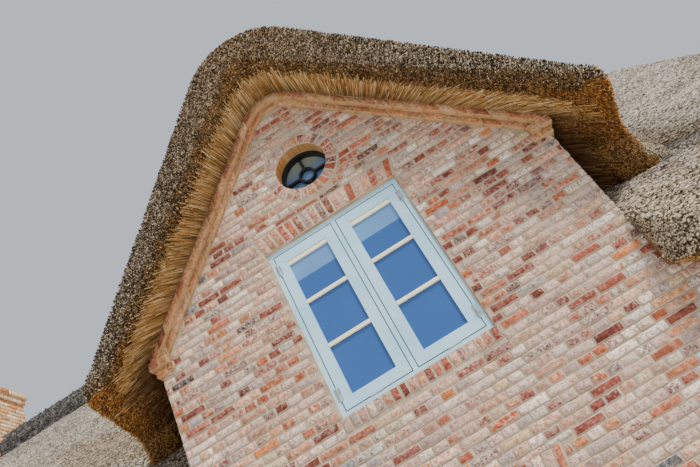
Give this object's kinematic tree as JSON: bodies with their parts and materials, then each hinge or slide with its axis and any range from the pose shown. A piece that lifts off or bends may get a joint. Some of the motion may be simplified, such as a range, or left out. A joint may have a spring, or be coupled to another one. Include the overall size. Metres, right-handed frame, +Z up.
{
  "type": "thatched brick cottage with a cross gable",
  "caption": "Hollow brick cottage with a steep reed thatch, a heather ridge, a corner chimney and a thatched cross gable with a casement window under a round light.",
  "frame": {"origin": "bottom centre of the whole cottage, on the level that its walls stand on", "axes": "+X along the main ridge to the right as seen from in front of the cross gable, +Y from the front wall to the back wall, +Z up"},
  "size_m": [13.4316, 9.04, 8.39],
  "materials": {
    "brick": "hand-made facing brick in sand mortar, partly lime-washed",
    "soldier": "orange-red facing brick laid as headers and soldiers",
    "thatch": "weathered water reed, grey-brown outside and golden on the underside",
    "heather": "packed heather, dark grey-purple",
    "paint": "pale blue-grey painted wood",
    "iron": "black painted cast iron",
    "glass": "clear float glass",
    "concrete": "power-floated concrete",
    "timber": "oiled pine boards"
  },
  "bodies": {
    "root": {"front_wall": "brick", "back_wall": "brick", "left_gable_wall": "brick", "right_gable_wall": "brick", "left_cheek": "brick", "right_cheek": "brick", "window_arch": "soldier", "window_sill": "soldier", "round_light_ring": "soldier", "cross_gable_corbel": "brick", "front_left_cornice": "brick", "front_right_cornice": "brick", "back_cornice": "brick", "left_gable_corbel": "brick", "right_gable_corbel": "brick", "ground_floor": "concrete", "upper_floor": "timber", "chimney_stack": "brick", "chimney_cap": "brick", "main_thatch": "thatch", "cross_gable_thatch": "thatch", "left_heather_ridge": "heather", "main_heather_ridge": "heather", "cross_gable_heather_ridge": "heather", "gable_window_frame": "paint", "gable_window_left_casement": "paint", "gable_window_left_glass": "glass", "gable_window_right_casement": "paint", "gable_window_right_glass": "glass", "round_light_frame": "iron", "round_light_glass": "glass", "front_far_left_window_frame": "paint", "front_far_left_window_glass": "glass", "front_left_window_frame": "paint", "front_left_window_glass": "glass", "front_right_window_frame": "paint", "front_right_window_glass": "glass", "back_left_window_frame": "paint", "back_left_window_glass": "glass", "back_middle_window_frame": "paint", "back_middle_window_glass": "glass", "back_right_window_frame": "paint", "back_right_window_glass": "glass", "left_gable_window_frame": "paint", "left_gable_window_glass": "glass", "right_gable_window_frame": "paint", "right_gable_window_glass": "glass", "front_door_frame": "paint", "front_door": "paint"}
  },
  "joints": []
}
